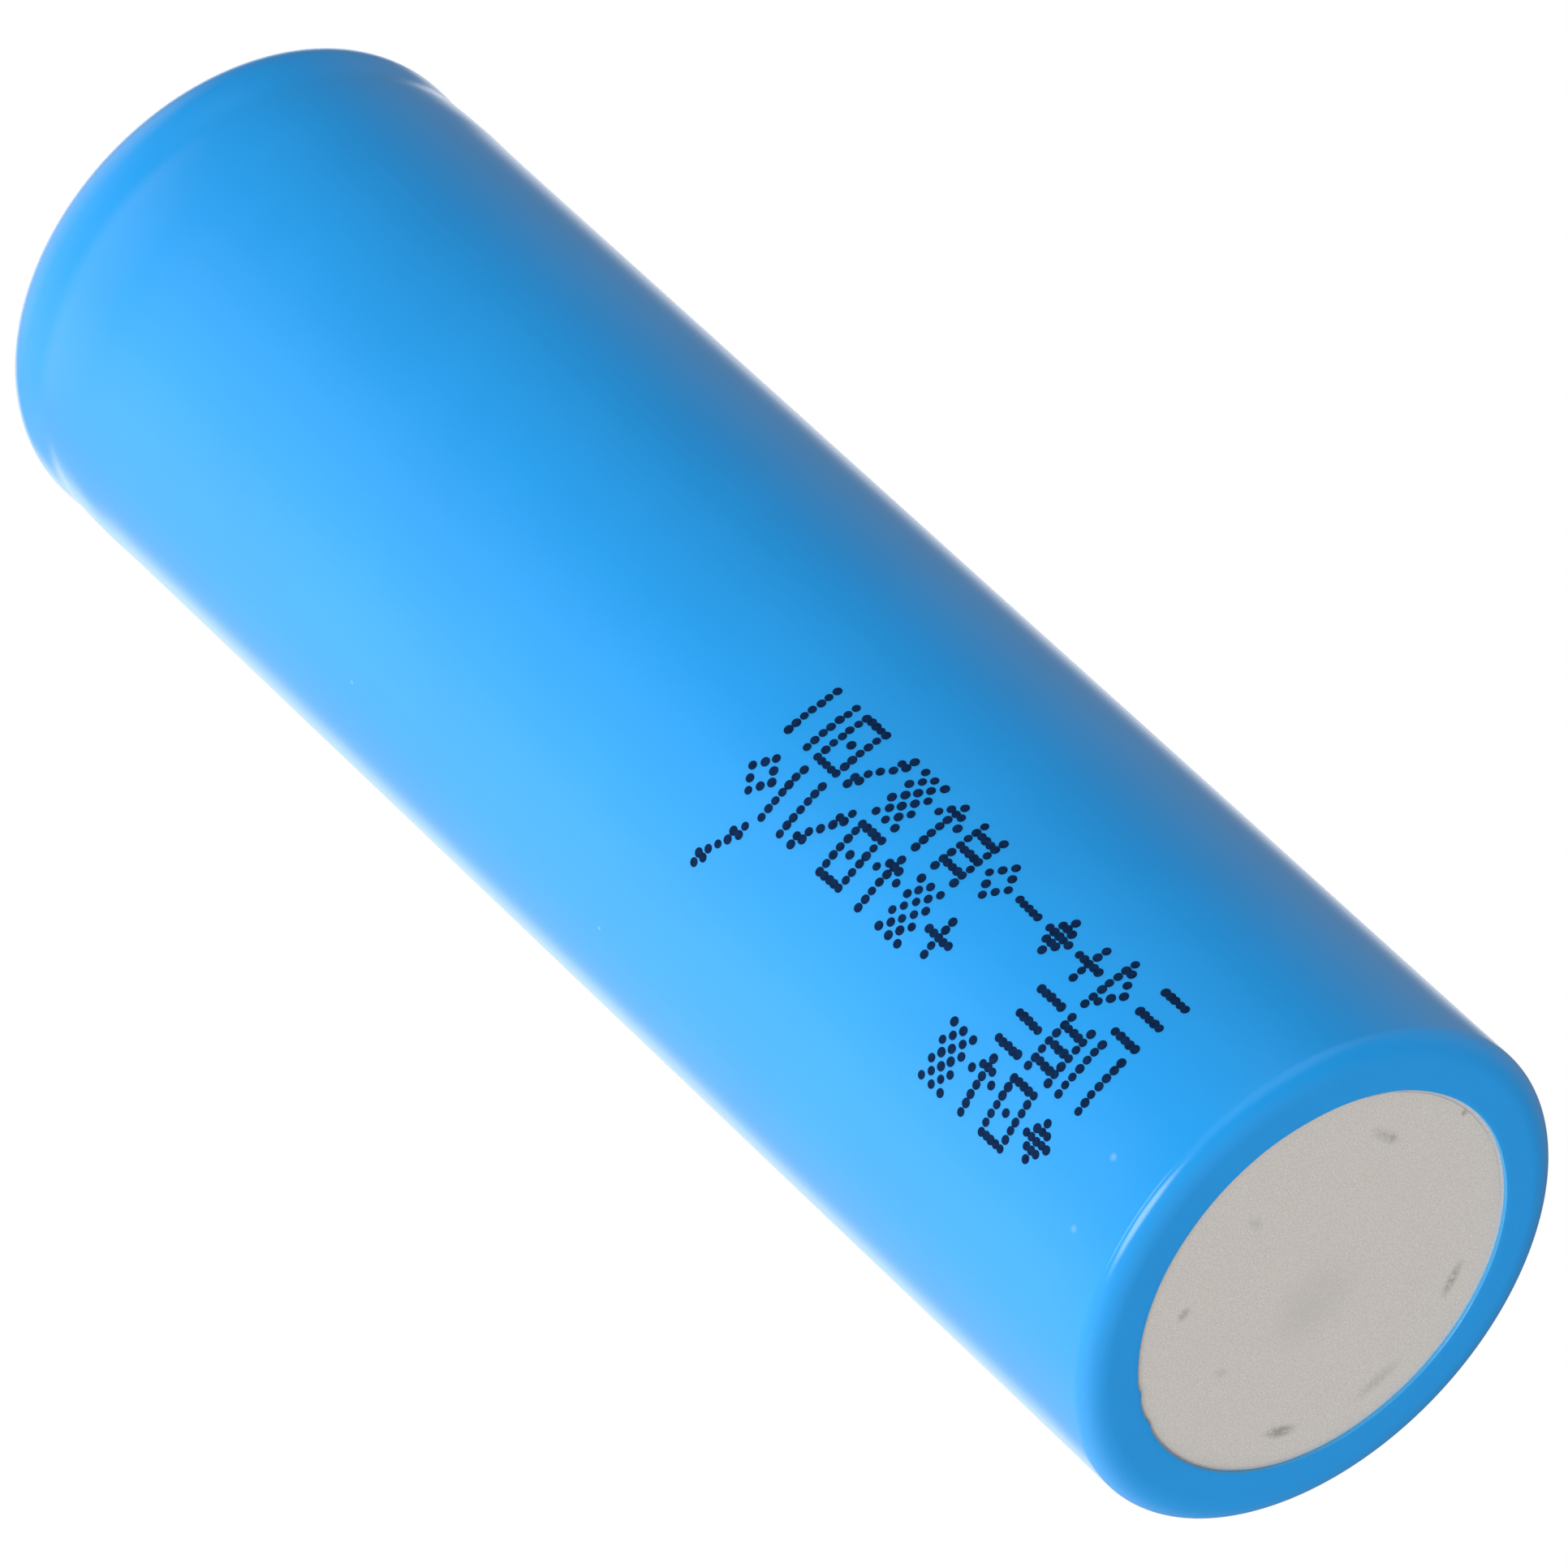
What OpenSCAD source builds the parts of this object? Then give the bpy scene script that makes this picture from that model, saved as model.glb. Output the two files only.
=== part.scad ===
// Cylindrical rechargeable cell, 21 mm by 70 mm format, with a flat positive terminal.
// It stands on its negative end: Z = 0 is the underside of the sleeve's base lip, and +Z runs along the
// axis to the positive terminal. All sizes are in millimetres.

/* [Cell] */
// Diameter over the sleeve
cell_d = 21; // [20.9:0.05:21.2]
// Height from the sleeve's base lip to the top of the positive terminal
cell_h = 70.75; // [70:0.05:71]

/* [Sleeve] */
// Thickness of the shrink film on the wall
film_t = 0.12; // [0.1:0.01:0.15]
// Thickness of the film's folded lip under the base
lip_t = 0.16; // [0.12:0.01:0.2]
// Diameter of the bare metal that the film leaves at the base
base_window_d = 16.45; // [16:0.05:17]
// Diameter of the film's opening at the positive end
top_window_d = 15.8; // [15:0.1:16.5]
// Outer radius of the film where it turns under the base
base_corner_r = 0.67; // [0.6:0.01:0.8]
// Outer radius of the film's shoulder at the positive end
shoulder_r = 1.9; // [1.8:0.05:2]
// Height that the terminal stands above the film
terminal_proud = 0.15; // [0.1:0.05:0.3]
// How far the film sinks over the can's groove
film_dip = 0.05; // [0.02:0.01:0.1]
// How far the can swells just under the groove
film_swell = 0.03; // [0.01:0.01:0.05]

/* [Can] */
// Thickness of the can's wall
wall_t = 0.25; // [0.2:0.01:0.3]
// Thickness of the can's base
base_t = 0.3; // [0.25:0.01:0.4]
// Height that the contact pad stands below the rest of the base
pad_t = 0.02; // [0.01:0.01:0.04]
// Radius of the rolled groove that carries the lid
groove_r = 1.05; // [0.9:0.05:1.15]
// Height from the groove's centre to the top of the positive terminal
groove_from_top = 3.3; // [3.2:0.05:3.4]
// Inner diameter of the crimped rim
crimp_d = 16.4; // [15.8:0.1:16.8]

/* [Lid] */
// Diameter of the discs held in the gasket
lid_d = 18.4; // [18:0.1:18.6]
// Thickness of the terminal cap's sheet
cap_t = 0.4; // [0.35:0.01:0.45]
// Diameter of the terminal cap's flat top
cap_top_d = 10.4; // [9.6:0.1:11]
// Diameter of the foot of the terminal cap's slanted wall
cap_foot_d = 12; // [11.6:0.1:12.4]
// Thickness of the vent disc
vent_t = 0.3; // [0.25:0.01:0.35]
// Thickness of the gasket's lips
gasket_t = 0.45; // [0.4:0.01:0.5]
// Diameter of the vent disc's moving centre
diaphragm_d = 8.7; // [8.4:0.1:9]
// Thickness of the fibre washer round the terminal
washer_t = 0.28; // [0.25:0.01:0.3]
// Inner diameter of the fibre washer
washer_hole_d = 12.8; // [12.4:0.1:13.4]

/* [Winding] */
// Diameter of the hole through the winding
core_d = 4; // [3.8:0.1:4.2]
// Full turns of the winding
turns = 22; // [8:1:22]
// Thickness of the coated cathode foil
cathode_t = 0.15; // [0.13:0.005:0.15]
// Thickness of the coated anode foil
anode_t = 0.17; // [0.15:0.005:0.17]
// Thickness of one separator
separator_t = 0.015; // [0.01:0.001:0.015]
// Height of the separators
winding_h = 64.2; // [60:0.1:64.5]
// Width of the tabs
tab_w = 4; // [3:0.1:4.4]
// Thickness of the nickel tabs at the base
nickel_tab_t = 0.1; // [0.08:0.01:0.12]
// Thickness of the aluminium tab under the lid
aluminium_tab_t = 0.12; // [0.1:0.01:0.14]
// Diameter of the centre pin
pin_d = 2.9; // [2.6:0.1:3]

/* [Hidden] */
$fn = 96;
cell_r = cell_d / 2;
can_r = cell_r - film_t;
inner_r = can_r - wall_t;
sleeve_top = cell_h - terminal_proud;
washer_top = sleeve_top - film_t;
crimp_top = washer_top - washer_t;
base_top = lip_t + base_t;
groove_z = cell_h - groove_from_top;
top_r = top_window_d / 2;
window_r = base_window_d / 2;

// Outlines of the sleeve and the can
groove_out = 0.15;
bead_r = groove_r + wall_t;
dip_arc_r = 5;
swell_arc_r = 25;
swell_z = groove_z - 2.25;
swell_half = 1.5;
can_corner_r = base_corner_r - film_t;
cavity_corner_r = 0.25;
crimp_r = 1.7;
rim_r = crimp_d / 2;
pad_inset = 0.2;
pad_r = window_r - pad_inset;

// Lid stack, from the crimp downwards
lid_r = lid_d / 2;
cap_top_r = cap_top_d / 2;
cap_foot_r = cap_foot_d / 2;
cap_edge_r = 0.35;
cap_vents = 4;
cap_vent_w = 2.4;
cap_vent_l = 2.2;
cap_vent_h = 0.65;
cap_vent_inset = 0.3;
cap_vent_lift = 0.05;
flange_top = crimp_top - wall_t - gasket_t;
flange_z = flange_top - cap_t;
vent_z = flange_z - vent_t;
gasket_low = 2 * gasket_t;
gasket_floor_w = 0.6;
gasket_in_r = lid_r - gasket_floor_w;
gasket_lip_w = 0.3;
gasket_lip_r = rim_r - gasket_lip_w;
diaphragm_r = diaphragm_d / 2;
fold_gap = 0.1;
dish_drop = 0.35;
dish_r = 3;
dish_floor_r = 1.9;
dimple_r = 1;
weld_gap = 0.03;
ring_clear = 0.35;
ring_in_r = diaphragm_r + ring_clear;
ring_out_r = 6.9;
ring_t = 0.5;
plate_r = 6.4;
plate_t = 0.4;
plate_hole_r = 1.3;
plate_vents = 6;
plate_vent_r = 0.65;
plate_vent_at = 3.6;
plate_top = vent_z - ring_t;
plate_z = plate_top - plate_t;
weld_disc_r = 2;
weld_disc_t = 0.15;

// Winding: half rings on two centres, each half a pitch larger than the one before
separator_out_at = separator_t + anode_t;
cathode_at = separator_out_at + separator_t;
pitch = cathode_at + cathode_t;
core_r = core_d / 2;
centre_shift = pitch / 4;
halves = 2 * turns;
winding_lift = 0.34;
winding_z = base_top + 2 * nickel_tab_t + winding_lift;
winding_top = winding_z + winding_h;
winding_r = core_r + turns * pitch + cathode_at;
anode_inset = 0.6;
cathode_inset = 1.1;
tape_t = 0.05;
closing_half_angle = 50;
closing_inset = 16;

// Insulators, tabs and pin
insulator_clear = 0.2;
insulator_r = inner_r - insulator_clear;
insulator_t = 0.25;
insulator_gap = 0.05;
insulator_holes = 6;
insulator_hole_r = 1.2;
insulator_hole_at = 7.2;
tab_half_turn = 2 * floor(turns / 2);
tab_clear = 0.015;
tab_r = core_r + tab_half_turn * pitch / 2 + cathode_at + tab_clear;
tab_depth = 56;
tab_rise = 0.75;
tab_z = winding_top + tab_rise;
tab_slot_w = tab_w + 1;
tab_slot_l = 1.3;
tab_bend_r = 0.5;
tab_flat_l = 0.3;
tab_turn_r = (plate_z - tab_z) / 2;
tab_turn_y = -5.6;
tab_end_y = -2.4;
tab_tape_l = 9;
tab_tape_side = 0.15;
inner_tab_w = 3;
inner_tab_clear = 0.2;
inner_tab_r = pin_d / 2 + inner_tab_clear;
inner_tab_h = 9;
inner_tab_foot = 3;
outer_tab_clear = 0.05;
outer_tab_r = winding_r - pitch / 2 + outer_tab_clear;
outer_tab_h = 18;
outer_tab_foot = 1.5;
outer_tape_h = 12;
outer_tape_half_angle = 15;
pin_r = pin_d / 2;
pin_wall = 0.22;
pin_slit = 0.4;
pin_taper = 0.15;
pin_taper_l = 0.6;
pin_gap = 0.6;

// A quarter of a disc with its corner at (x, y), reaching towards sx and sy
module quarter_2d(x, y, r, sx, sy)
    translate([x, y])
        intersection() {
            circle(r);
            translate([sx < 0 ? -2 * r : 0, sy < 0 ? -2 * r : 0])
                square(2 * r);
        }

// Half section of an upright barrel with round lower and upper corners
module barrel_2d(r, z0, z1, low_r, high_r) {
    translate([0, z0])
        square([r - low_r, low_r]);
    translate([0, z0 + low_r])
        square([r, z1 - z0 - low_r - high_r]);
    translate([0, z1 - high_r])
        square([r - high_r, high_r]);
    quarter_2d(r - low_r, z0 + low_r, low_r, 1, -1);
    quarter_2d(r - high_r, z1 - high_r, high_r, 1, 1);
}

// The slight swell just under the groove, on a wall of radius r
module swell_2d(r)
    intersection() {
        translate([r + film_swell - swell_arc_r, swell_z])
            circle(swell_arc_r);
        translate([r - 1, swell_z - swell_half])
            square([2, 2 * swell_half]);
    }

// Half section of a flat ring
module ring_2d(r0, r1, z0, z1)
    translate([r0, z0])
        square([r1 - r0, z1 - z0]);

// Part of a thin ring, centred on an angle
module arc_2d(r, t, angle, half_angle)
    intersection() {
        difference() {
            circle(r + t);
            circle(r);
        }
        rotate(angle)
            polygon([[0, 0], [2 * r * cos(half_angle), -2 * r * sin(half_angle)],
                     [2 * r * cos(half_angle), 2 * r * sin(half_angle)]]);
    }

// Holes in a circle round the axis, through a sheet of thickness h at height z
module hole_circle(count, r, at, z, h)
    for (i = [0:count - 1])
        rotate(i * 360 / count)
            translate([at, 0, z - 1])
                cylinder(r = r, h = h + 2);

// Section of the film's outer or inner face: r is its wall's radius, dip_r the radius of its dip
module film_2d(r, z0, z1, low_r, high_r, dip_r)
    difference() {
        union() {
            barrel_2d(r, z0, z1, low_r, high_r);
            swell_2d(r);
        }
        translate([cell_r - film_dip + dip_arc_r, groove_z])
            circle(dip_r);
    }

// Heat-shrunk film, folded over the washer and under the base
module sleeve()
    color("#3AA2E8")
        rotate_extrude()
            difference() {
                film_2d(cell_r, 0, sleeve_top, base_corner_r, shoulder_r, dip_arc_r);
                film_2d(can_r, lip_t, washer_top, can_corner_r, shoulder_r - film_t, dip_arc_r + film_t);
                ring_2d(0, window_r, -1, lip_t + 1);
                ring_2d(0, top_r, washer_top - 1, sleeve_top + 1);
            }

// Fibre washer between the crimp and the film, its rim rounded by the film
module washer()
    color("#F2F1EC")
        rotate_extrude()
            intersection() {
                barrel_2d(can_r, lip_t, washer_top, can_corner_r, shoulder_r - film_t);
                ring_2d(washer_hole_d / 2, can_r, crimp_top, washer_top);
            }

// Room inside the can, in section
module cavity_2d()
    difference() {
        barrel_2d(inner_r, base_top, crimp_top - wall_t, cavity_corner_r, crimp_r - wall_t);
        translate([can_r + groove_out, groove_z])
            circle(bead_r);
    }

// Drawn steel can: flat base, rolled groove and crimped rim
module can()
    color("#C3BFBA")
        rotate_extrude()
            difference() {
                union() {
                    barrel_2d(can_r, lip_t, crimp_top, can_corner_r, crimp_r);
                    swell_2d(can_r);
                    ring_2d(0, pad_r, lip_t - pad_t, lip_t + base_t);
                }
                translate([can_r + groove_out, groove_z])
                    circle(groove_r);
                cavity_2d();
                ring_2d(0, rim_r, crimp_top - 2 * wall_t, crimp_top + 1);
            }

// Sealing gasket, squeezed between the can and the lid's discs
module gasket()
    color("#E8E4D8")
        rotate_extrude()
            difference() {
                intersection() {
                    cavity_2d();
                    ring_2d(gasket_in_r, inner_r, vent_z - gasket_low, crimp_top);
                }
                ring_2d(0, lid_r, vent_z, flange_top);
                ring_2d(0, gasket_lip_r, flange_top - 0.1, crimp_top);
            }

// Pressed positive terminal with vent windows in its slanted wall
module terminal_cap()
    color("#CFCBC4")
        difference() {
            rotate_extrude()
                polygon(concat(
                    [[0, cell_h - cap_t], [0, cell_h]],
                    [for (a = [90:-10:40])
                        [cap_top_r - cap_edge_r + cap_edge_r * cos(a),
                         cell_h - cap_edge_r + cap_edge_r * sin(a)]],
                    [[cap_foot_r, flange_top], [lid_r, flange_top], [lid_r, flange_z],
                     [cap_foot_r - cap_t / 2, flange_z],
                     [cap_top_r - cap_t / 2, cell_h - cap_t]]));
            for (i = [0:cap_vents - 1])
                rotate(i * 360 / cap_vents)
                    translate([cap_foot_r - cap_vent_l / 2 - cap_vent_inset, -cap_vent_w / 2,
                               flange_top + cap_vent_lift])
                        cube([cap_vent_l, cap_vent_w, cap_vent_h]);
        }

// Clamped rim of the vent disc
module vent_disc()
    color("#BFC3C7")
        rotate_extrude()
            ring_2d(diaphragm_r + fold_gap, lid_r, vent_z, flange_z);

// Dished centre of the vent disc, which snaps upwards and breaks the current path
module vent_diaphragm()
    color("#CBD0D4")
        rotate_extrude()
            polygon([[0, plate_z + weld_gap], [dimple_r, plate_z + weld_gap],
                     [dimple_r, vent_z - dish_drop], [dish_floor_r, vent_z - dish_drop],
                     [dish_r, vent_z], [diaphragm_r, vent_z],
                     [diaphragm_r, flange_z], [dish_r, flange_z],
                     [dish_floor_r, flange_z - dish_drop], [0, flange_z - dish_drop]]);

// Insulating ring that holds the interrupt plate under the vent disc
module interrupt_ring()
    color("#3B6FA5")
        rotate_extrude() {
            ring_2d(ring_in_r, ring_out_r, plate_top, vent_z);
            ring_2d(plate_r, ring_out_r, plate_z, plate_top);
        }

// Perforated plate that carries the current to the diaphragm
module interrupt_plate()
    color("#B9BDC1")
        difference() {
            translate([0, 0, plate_z])
                cylinder(r = plate_r, h = plate_t);
            hole_circle(1, plate_hole_r, 0, plate_z, plate_t);
            hole_circle(plate_vents, plate_vent_r, plate_vent_at, plate_z, plate_t);
        }

// Thin disc under the plate, to which the diaphragm is welded
module weld_disc()
    color("#A9AEB2")
        translate([0, 0, plate_z - weld_disc_t])
            cylinder(r = weld_disc_r, h = weld_disc_t);

// Insulator between the winding and the lid
module upper_insulator()
    color("#DCE6DC")
        difference() {
            translate([0, 0, winding_top + insulator_gap])
                cylinder(r = insulator_r, h = insulator_t);
            hole_circle(1, core_r, 0, winding_top, insulator_t);
            hole_circle(insulator_holes, insulator_hole_r, insulator_hole_at, winding_top,
                        insulator_t);
            translate([-tab_slot_w / 2, tab_r - tab_slot_l / 2, winding_top - 1])
                cube([tab_slot_w, tab_slot_l, 3]);
        }

// Aluminium tab: up from the cathode, folded back under the lid and welded to the plate
module positive_tab()
    color("#D5D8DB")
        union() {
            translate([-centre_shift, 0, winding_top - tab_depth])
                linear_extrude(tab_depth + tab_z - winding_top)
                    arc_2d(tab_r, aluminium_tab_t, 90, tab_half_angle(tab_r));
            rotate([90, 0, 90])
                translate([0, 0, -tab_w / 2])
                    linear_extrude(tab_w)
                        tab_fold_2d();
        }

// Half the angle that a tab of full width takes at radius r
function tab_half_angle(r) = tab_w / 2 / r * 180 / PI;

// Side view of the aluminium tab's folds, from the winding's exit to the weld
module tab_fold_2d() {
    out_y = tab_r + aluminium_tab_t;
    bend_z = tab_z + aluminium_tab_t - tab_bend_r;
    ring_2d(tab_r, out_y, bend_z - tab_flat_l, bend_z);
    difference() {
        quarter_2d(out_y - tab_bend_r, bend_z, tab_bend_r, 1, 1);
        translate([out_y - tab_bend_r, bend_z])
            circle(tab_bend_r - aluminium_tab_t);
    }
    ring_2d(tab_turn_y, out_y - tab_bend_r, tab_z, tab_z + aluminium_tab_t);
    difference() {
        translate([tab_turn_y, tab_z + tab_turn_r])
            circle(tab_turn_r);
        translate([tab_turn_y, tab_z + tab_turn_r])
            circle(tab_turn_r - aluminium_tab_t);
        ring_2d(tab_turn_y, tab_turn_y + 2 * tab_turn_r, tab_z - 1, plate_z + 1);
    }
    ring_2d(tab_turn_y, tab_end_y, plate_z - aluminium_tab_t, plate_z);
}

// Tape wrapped round the level stretch of the aluminium tab
module positive_tab_tape()
    color("#C98B2B")
        translate([0, 0, tab_z])
            difference() {
                translate([-tab_w / 2 - tab_tape_side, -tab_tape_l / 2, -tape_t])
                    cube([tab_w + 2 * tab_tape_side, tab_tape_l, aluminium_tab_t + 2 * tape_t]);
                translate([-tab_w / 2, -tab_tape_l, 0])
                    cube([tab_w, 2 * tab_tape_l, aluminium_tab_t]);
            }

// One wound sheet: half rings from number first to number last, its inner face at inset from the spiral
module wound_sheet(at, t, first, last, z_inset)
    translate([0, 0, winding_z + z_inset])
        linear_extrude(winding_h - 2 * z_inset)
            for (i = [first:last])
                translate([i % 2 == 0 ? -centre_shift : centre_shift, 0])
                    half_ring_2d(core_r + i * pitch / 2 + at, t, i % 2);

// Half a ring: above the X axis for side 0, below it for side 1
module half_ring_2d(r, t, side)
    intersection() {
        difference() {
            circle(r + t);
            circle(r);
        }
        translate([-2 * r, -2 * r * side])
            square([4 * r, 2 * r]);
    }

// Separator on the anode's inner side
module separator_inner()
    color("#F4F4F0")
        wound_sheet(0, separator_t, 0, halves, 0);

// Coated anode foil, between the two separators
module anode()
    color("#3A3A3C")
        wound_sheet(separator_t, anode_t, 1, halves - 1, anode_inset);

// Separator on the anode's outer side
module separator_outer()
    color("#EFEFEA")
        wound_sheet(separator_out_at, separator_t, 0, halves, 0);

// Coated cathode foil, with a bare pocket where the tab is welded
module cathode()
    color("#2C2C30")
        difference() {
            wound_sheet(cathode_at, cathode_t, 2, halves - 3, cathode_inset);
            translate([-centre_shift, 0, winding_top - tab_depth - 1])
                linear_extrude(tab_depth + 2)
                    arc_2d(tab_r - 0.1, cathode_t + 0.1, 90, tab_half_angle(tab_r) + 2);
        }

// Tape that holds the separators' outer end
module closing_tape()
    color("#5FB56A")
        translate([-centre_shift, 0, winding_z + closing_inset])
            linear_extrude(winding_h - 2 * closing_inset)
                arc_2d(winding_r, tape_t, 90, closing_half_angle);

// Slit steel tube in the middle of the winding
module centre_pin()
    color("#A8A8A6")
        difference() {
            translate([0, 0, winding_z + pin_gap])
                rotate_extrude()
                    polygon([[pin_r - pin_wall, 0], [pin_r - pin_taper, 0], [pin_r, pin_taper_l],
                             [pin_r, winding_h - 2 * pin_gap - pin_taper_l],
                             [pin_r - pin_taper, winding_h - 2 * pin_gap],
                             [pin_r - pin_wall, winding_h - 2 * pin_gap]]);
            translate([0, -pin_slit / 2, 0])
                cube([2 * pin_r, pin_slit, cell_h]);
        }

// Insulator between the winding and the base
module lower_insulator()
    color("#DCE6DC")
        difference() {
            translate([0, 0, winding_z - insulator_gap - insulator_t])
                cylinder(r = insulator_r, h = insulator_t);
            hole_circle(1, core_r, 0, base_top, insulator_t);
            hole_circle(insulator_holes, insulator_hole_r, insulator_hole_at, base_top,
                        insulator_t);
            translate([-tab_slot_w / 2, -insulator_r - 1, base_top])
                cube([tab_slot_w, 1 + insulator_r - outer_tab_r + 0.2, 1]);
        }

// Nickel tab from the anode's inner end, down the core and out over the base
module negative_tab_inner()
    color("#B4B0A8") {
        translate([0, 0, base_top + nickel_tab_t])
            linear_extrude(inner_tab_h)
                arc_2d(inner_tab_r, nickel_tab_t, 90, inner_tab_w / 2 / inner_tab_r * 180 / PI);
        translate([-inner_tab_w / 2, -inner_tab_foot, base_top + nickel_tab_t])
            cube([inner_tab_w, inner_tab_foot + inner_tab_r, nickel_tab_t]);
    }

// Nickel tab from the anode's outer end, under the winding to the weld in the middle
module negative_tab_outer()
    color("#B4B0A8") {
        translate([0, 0, base_top])
            linear_extrude(outer_tab_h)
                arc_2d(outer_tab_r, nickel_tab_t, 270, tab_half_angle(outer_tab_r));
        intersection() {
            translate([-tab_w / 2, -inner_r, base_top])
                cube([tab_w, inner_r + outer_tab_foot, nickel_tab_t]);
            cylinder(r = outer_tab_r + nickel_tab_t, h = cell_h);
        }
    }

// Tape over the outer nickel tab
module negative_tab_tape()
    color("#C98B2B")
        translate([0, 0, base_top + (outer_tab_h - outer_tape_h)])
            linear_extrude(outer_tape_h)
                arc_2d(outer_tab_r + nickel_tab_t, tape_t, 270, outer_tape_half_angle);

sleeve();
washer();
can();
gasket();
terminal_cap();
vent_disc();
vent_diaphragm();
interrupt_ring();
interrupt_plate();
weld_disc();
upper_insulator();
positive_tab();
positive_tab_tape();
separator_inner();
anode();
separator_outer();
cathode();
closing_tape();
centre_pin();
lower_insulator();
negative_tab_inner();
negative_tab_outer();
negative_tab_tape();
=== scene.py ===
import math
import random

import bmesh
import bpy
from mathutils import Matrix, Vector


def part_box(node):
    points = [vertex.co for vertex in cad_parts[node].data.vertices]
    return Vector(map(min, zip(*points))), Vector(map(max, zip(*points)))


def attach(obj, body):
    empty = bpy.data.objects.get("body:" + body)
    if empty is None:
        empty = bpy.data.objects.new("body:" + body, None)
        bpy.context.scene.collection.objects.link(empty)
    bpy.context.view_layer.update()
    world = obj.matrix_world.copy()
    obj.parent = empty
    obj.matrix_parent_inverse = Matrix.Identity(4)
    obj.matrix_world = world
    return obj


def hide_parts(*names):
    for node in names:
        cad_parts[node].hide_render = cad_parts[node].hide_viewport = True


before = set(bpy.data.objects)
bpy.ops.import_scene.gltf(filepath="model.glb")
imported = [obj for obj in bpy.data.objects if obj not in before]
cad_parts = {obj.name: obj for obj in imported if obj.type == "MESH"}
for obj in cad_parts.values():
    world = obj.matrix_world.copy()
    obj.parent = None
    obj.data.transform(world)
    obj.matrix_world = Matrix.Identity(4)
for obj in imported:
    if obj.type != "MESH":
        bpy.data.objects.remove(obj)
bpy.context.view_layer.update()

MM = 0.001
BODY = "cell"


# ---------------------------------------------------------------- sizes, from the frame where it gives them

def top_of(node):
    """Height of a CAD node's highest point."""
    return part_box(node)[1].z


def floor_of(node):
    """Height of a CAD node's lowest point."""
    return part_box(node)[0].z


def radius_of(node):
    """Largest radius of a CAD node about the axis."""
    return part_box(node)[1].x


# The film and the cell under it, in millimetres, as the profiles below are drawn in them
SWELL = 0.03
SLEEVE_R = radius_of("sleeve") / MM - SWELL
SLEEVE_TOP = top_of("sleeve") / MM
FILM_T = SLEEVE_R + SWELL - radius_of("can") / MM
CELL_TOP = top_of("terminal_cap") / MM
FLANGE_Z = floor_of("terminal_cap") / MM
LIP_T = 0.16
WINDOW_R = 8.225
TOP_WINDOW_R = 7.9
BASE_CORNER_R = 0.67
BASE_CORNER_W = 1.15
LIP_EDGE_W = 0.05
TOP_EDGE_W = 0.05
TOP_EDGE_DROP = 0.03
SHOULDER_R = 1.9
GROOVE_Z = CELL_TOP - 3.3
GROOVE_W = 0.62
DIP = 0.05
SWELL_Z = GROOVE_Z - 2.25
SWELL_W = 1.1
GROOVED_Z = SWELL_Z - 2.5
# Steps round the film, and the distance within which two points of a lathed piece become one
SEGMENTS = 256
WELD = 0.0001

# The terminal, in millimetres. Its wall's lean and the angle at which an edge is sharp are in degrees
CAP_T = 0.4
CAP_TOP_R = 5.2
CAP_FOOT_R = 6.0
CAP_BEND_R = 0.35
CAP_FOOT_BEND = 0.3
CAP_LEAN = 38
CAP_EDGE = 0.03
CAP_SHARP = 30
# Its hollow side: how far inside the foot and the crown the wall starts and ends, and its bends
CAP_FOOT_IN = 0.2
CAP_CROWN_IN = 0.36
CAP_INNER_BEND = 0.1

# The terminal's vent windows: how many, their lowest and highest point above the flange, half their width,
# their corners, and how far in and out from the wall's foot the cut goes, in millimetres
WINDOWS = 4
WINDOW_LIFT = 0.05
WINDOW_TOP = 0.70
WINDOW_HALF = 1.2
WINDOW_CORNER = 0.18
WINDOW_IN = 1.4
WINDOW_OUT = 0.8

# The side that the camera is on, in degrees: from -Y towards +X, and then from +X
SHOT_AZIMUTH = 0.847
FRONT = SHOT_AZIMUTH - 90


# ---------------------------------------------------------------- meshes

def mesh_object(name, bm, smooth_angle=40):
    """A piece from a bmesh in millimetres, smooth except at edges sharper than smooth_angle degrees."""
    bmesh.ops.recalc_face_normals(bm, faces=bm.faces)
    mesh = bpy.data.meshes.new(name)
    bm.to_mesh(mesh)
    bm.free()
    mesh.transform(Matrix.Scale(MM, 4))
    mesh.shade_smooth()
    mesh.set_sharp_from_angle(angle=math.radians(smooth_angle))
    piece = bpy.data.objects.new(name, mesh)
    bpy.context.scene.collection.objects.link(piece)
    return piece


def oval(cx, cz, wide, high, start, end, count):
    """Points of an oval's arc in the (radius, height) plane, from angle start to end in degrees."""
    angles = [math.radians(start + (end - start) * i / count) for i in range(count + 1)]
    return [(cx + wide * math.cos(a), cz + high * math.sin(a)) for a in angles]


def arc(cx, cz, r, start, end, count):
    """Points of a round arc."""
    return oval(cx, cz, r, r, start, end, count)


def steps(a, b, count):
    """Values from a to b, without the first."""
    return [a + (b - a) * (i + 1) / count for i in range(count)]


def lathe(name, outline, segments, shift=None, smooth_angle=40):
    """Turns a closed outline of (radius, height) points about Z. shift(r, z, angle) moves a point."""
    bm = bmesh.new()
    rings = []
    for s in range(segments):
        a = 2 * math.pi * s / segments
        ring = []
        for r, z in outline:
            dr, dz = shift(r, z, a) if shift else (0, 0)
            ring.append(bm.verts.new(((r + dr) * math.cos(a), (r + dr) * math.sin(a), z + dz)))
        rings.append(ring)
    count = len(outline)
    for s in range(segments):
        near, far = rings[s], rings[(s + 1) % segments]
        for i in range(count):
            j = (i + 1) % count
            bm.faces.new((near[i], far[i], far[j], near[j]))
    bmesh.ops.remove_doubles(bm, verts=bm.verts, dist=WELD)
    return mesh_object(name, bm, smooth_angle)


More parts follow.
